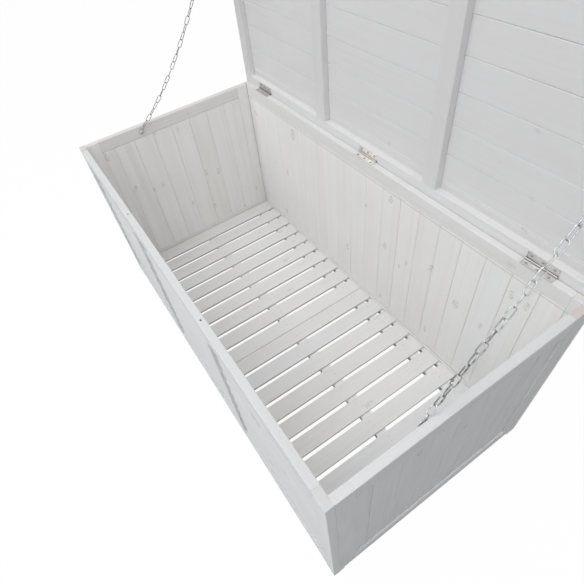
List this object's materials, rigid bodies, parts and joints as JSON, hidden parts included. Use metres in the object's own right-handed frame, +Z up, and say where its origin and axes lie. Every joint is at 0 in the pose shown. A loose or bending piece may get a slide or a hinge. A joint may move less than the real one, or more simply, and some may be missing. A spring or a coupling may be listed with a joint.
{
  "type": "cushion storage box",
  "caption": "Wooden cushion storage box with a slatted floor, framed board walls and a boarded lid that opens on butt hinges and is held by chains",
  "frame": {"origin": "middle of the overall footprint with the lid open, on the ground under the feet", "axes": "X along the length of the box, Y from the front to the hinged back, Z up"},
  "size_m": [1.277, 0.632, 1.1436],
  "materials": {
    "glazed_pine": "thin white glaze over pine, grain and knots showing faintly",
    "hinge_steel": "zinc-plated steel strip",
    "chain_zinc": "bright zinc-plated welded wire links",
    "screw_steel": "plain steel screw and nail heads"
  },
  "bodies": {
    "box": {"back_boards": "glazed_pine", "back_bottom_rail": "glazed_pine", "back_stile_left": "glazed_pine", "back_stile_right": "glazed_pine", "back_top_rail": "glazed_pine", "chain_left": "chain_zinc", "chain_right": "chain_zinc", "chain_wall_fixings": "screw_steel", "floor_bearers_left": "glazed_pine", "floor_bearers_right": "glazed_pine", "floor_slats_left": "glazed_pine", "floor_slats_right": "glazed_pine", "foot_back_left": "glazed_pine", "foot_back_right": "glazed_pine", "foot_front_left": "glazed_pine", "foot_front_right": "glazed_pine", "front_boards_left": "glazed_pine", "front_boards_middle": "glazed_pine", "front_boards_right": "glazed_pine", "front_bottom_rail": "glazed_pine", "front_mid_stile_left": "glazed_pine", "front_mid_stile_right": "glazed_pine", "front_rail_nails": "screw_steel", "front_stile_left": "glazed_pine", "front_stile_right": "glazed_pine", "front_top_rail": "glazed_pine", "hinge_left_pin": "hinge_steel", "hinge_left_wall_leaf": "hinge_steel", "hinge_middle_pin": "hinge_steel", "hinge_middle_wall_leaf": "hinge_steel", "hinge_right_pin": "hinge_steel", "hinge_right_wall_leaf": "hinge_steel", "hinge_wall_screws": "screw_steel", "ledger_back": "glazed_pine", "ledger_front": "glazed_pine", "ledger_left": "glazed_pine", "ledger_right": "glazed_pine", "left_end_boards": "glazed_pine", "left_end_bottom_rail": "glazed_pine", "left_end_stile_back": "glazed_pine", "left_end_stile_front": "glazed_pine", "left_end_top_rail": "glazed_pine", "right_end_boards": "glazed_pine", "right_end_bottom_rail": "glazed_pine", "right_end_stile_back": "glazed_pine", "right_end_stile_front": "glazed_pine", "right_end_top_rail": "glazed_pine"},
    "lid": {"hinge_left_lid_leaf": "hinge_steel", "hinge_middle_lid_leaf": "hinge_steel", "hinge_right_lid_leaf": "hinge_steel", "lid_batten_left": "glazed_pine", "lid_batten_right": "glazed_pine", "lid_boards": "glazed_pine", "lid_end_rail_left": "glazed_pine", "lid_end_rail_right": "glazed_pine", "lid_front_rail": "glazed_pine", "lid_rear_rail": "glazed_pine", "hinge_lid_screws": "screw_steel", "chain_lid_fixings": "screw_steel"}
  },
  "joints": [
    {"name": "lid_hinge", "type": "hinge", "parent": "box", "child": "lid", "pos_m": [0, 0.28345, 0.5306], "axis": [1, 0, 0], "range_deg": [0, 90.46], "deforming": ["chain_left", "chain_right"]}
  ]
}
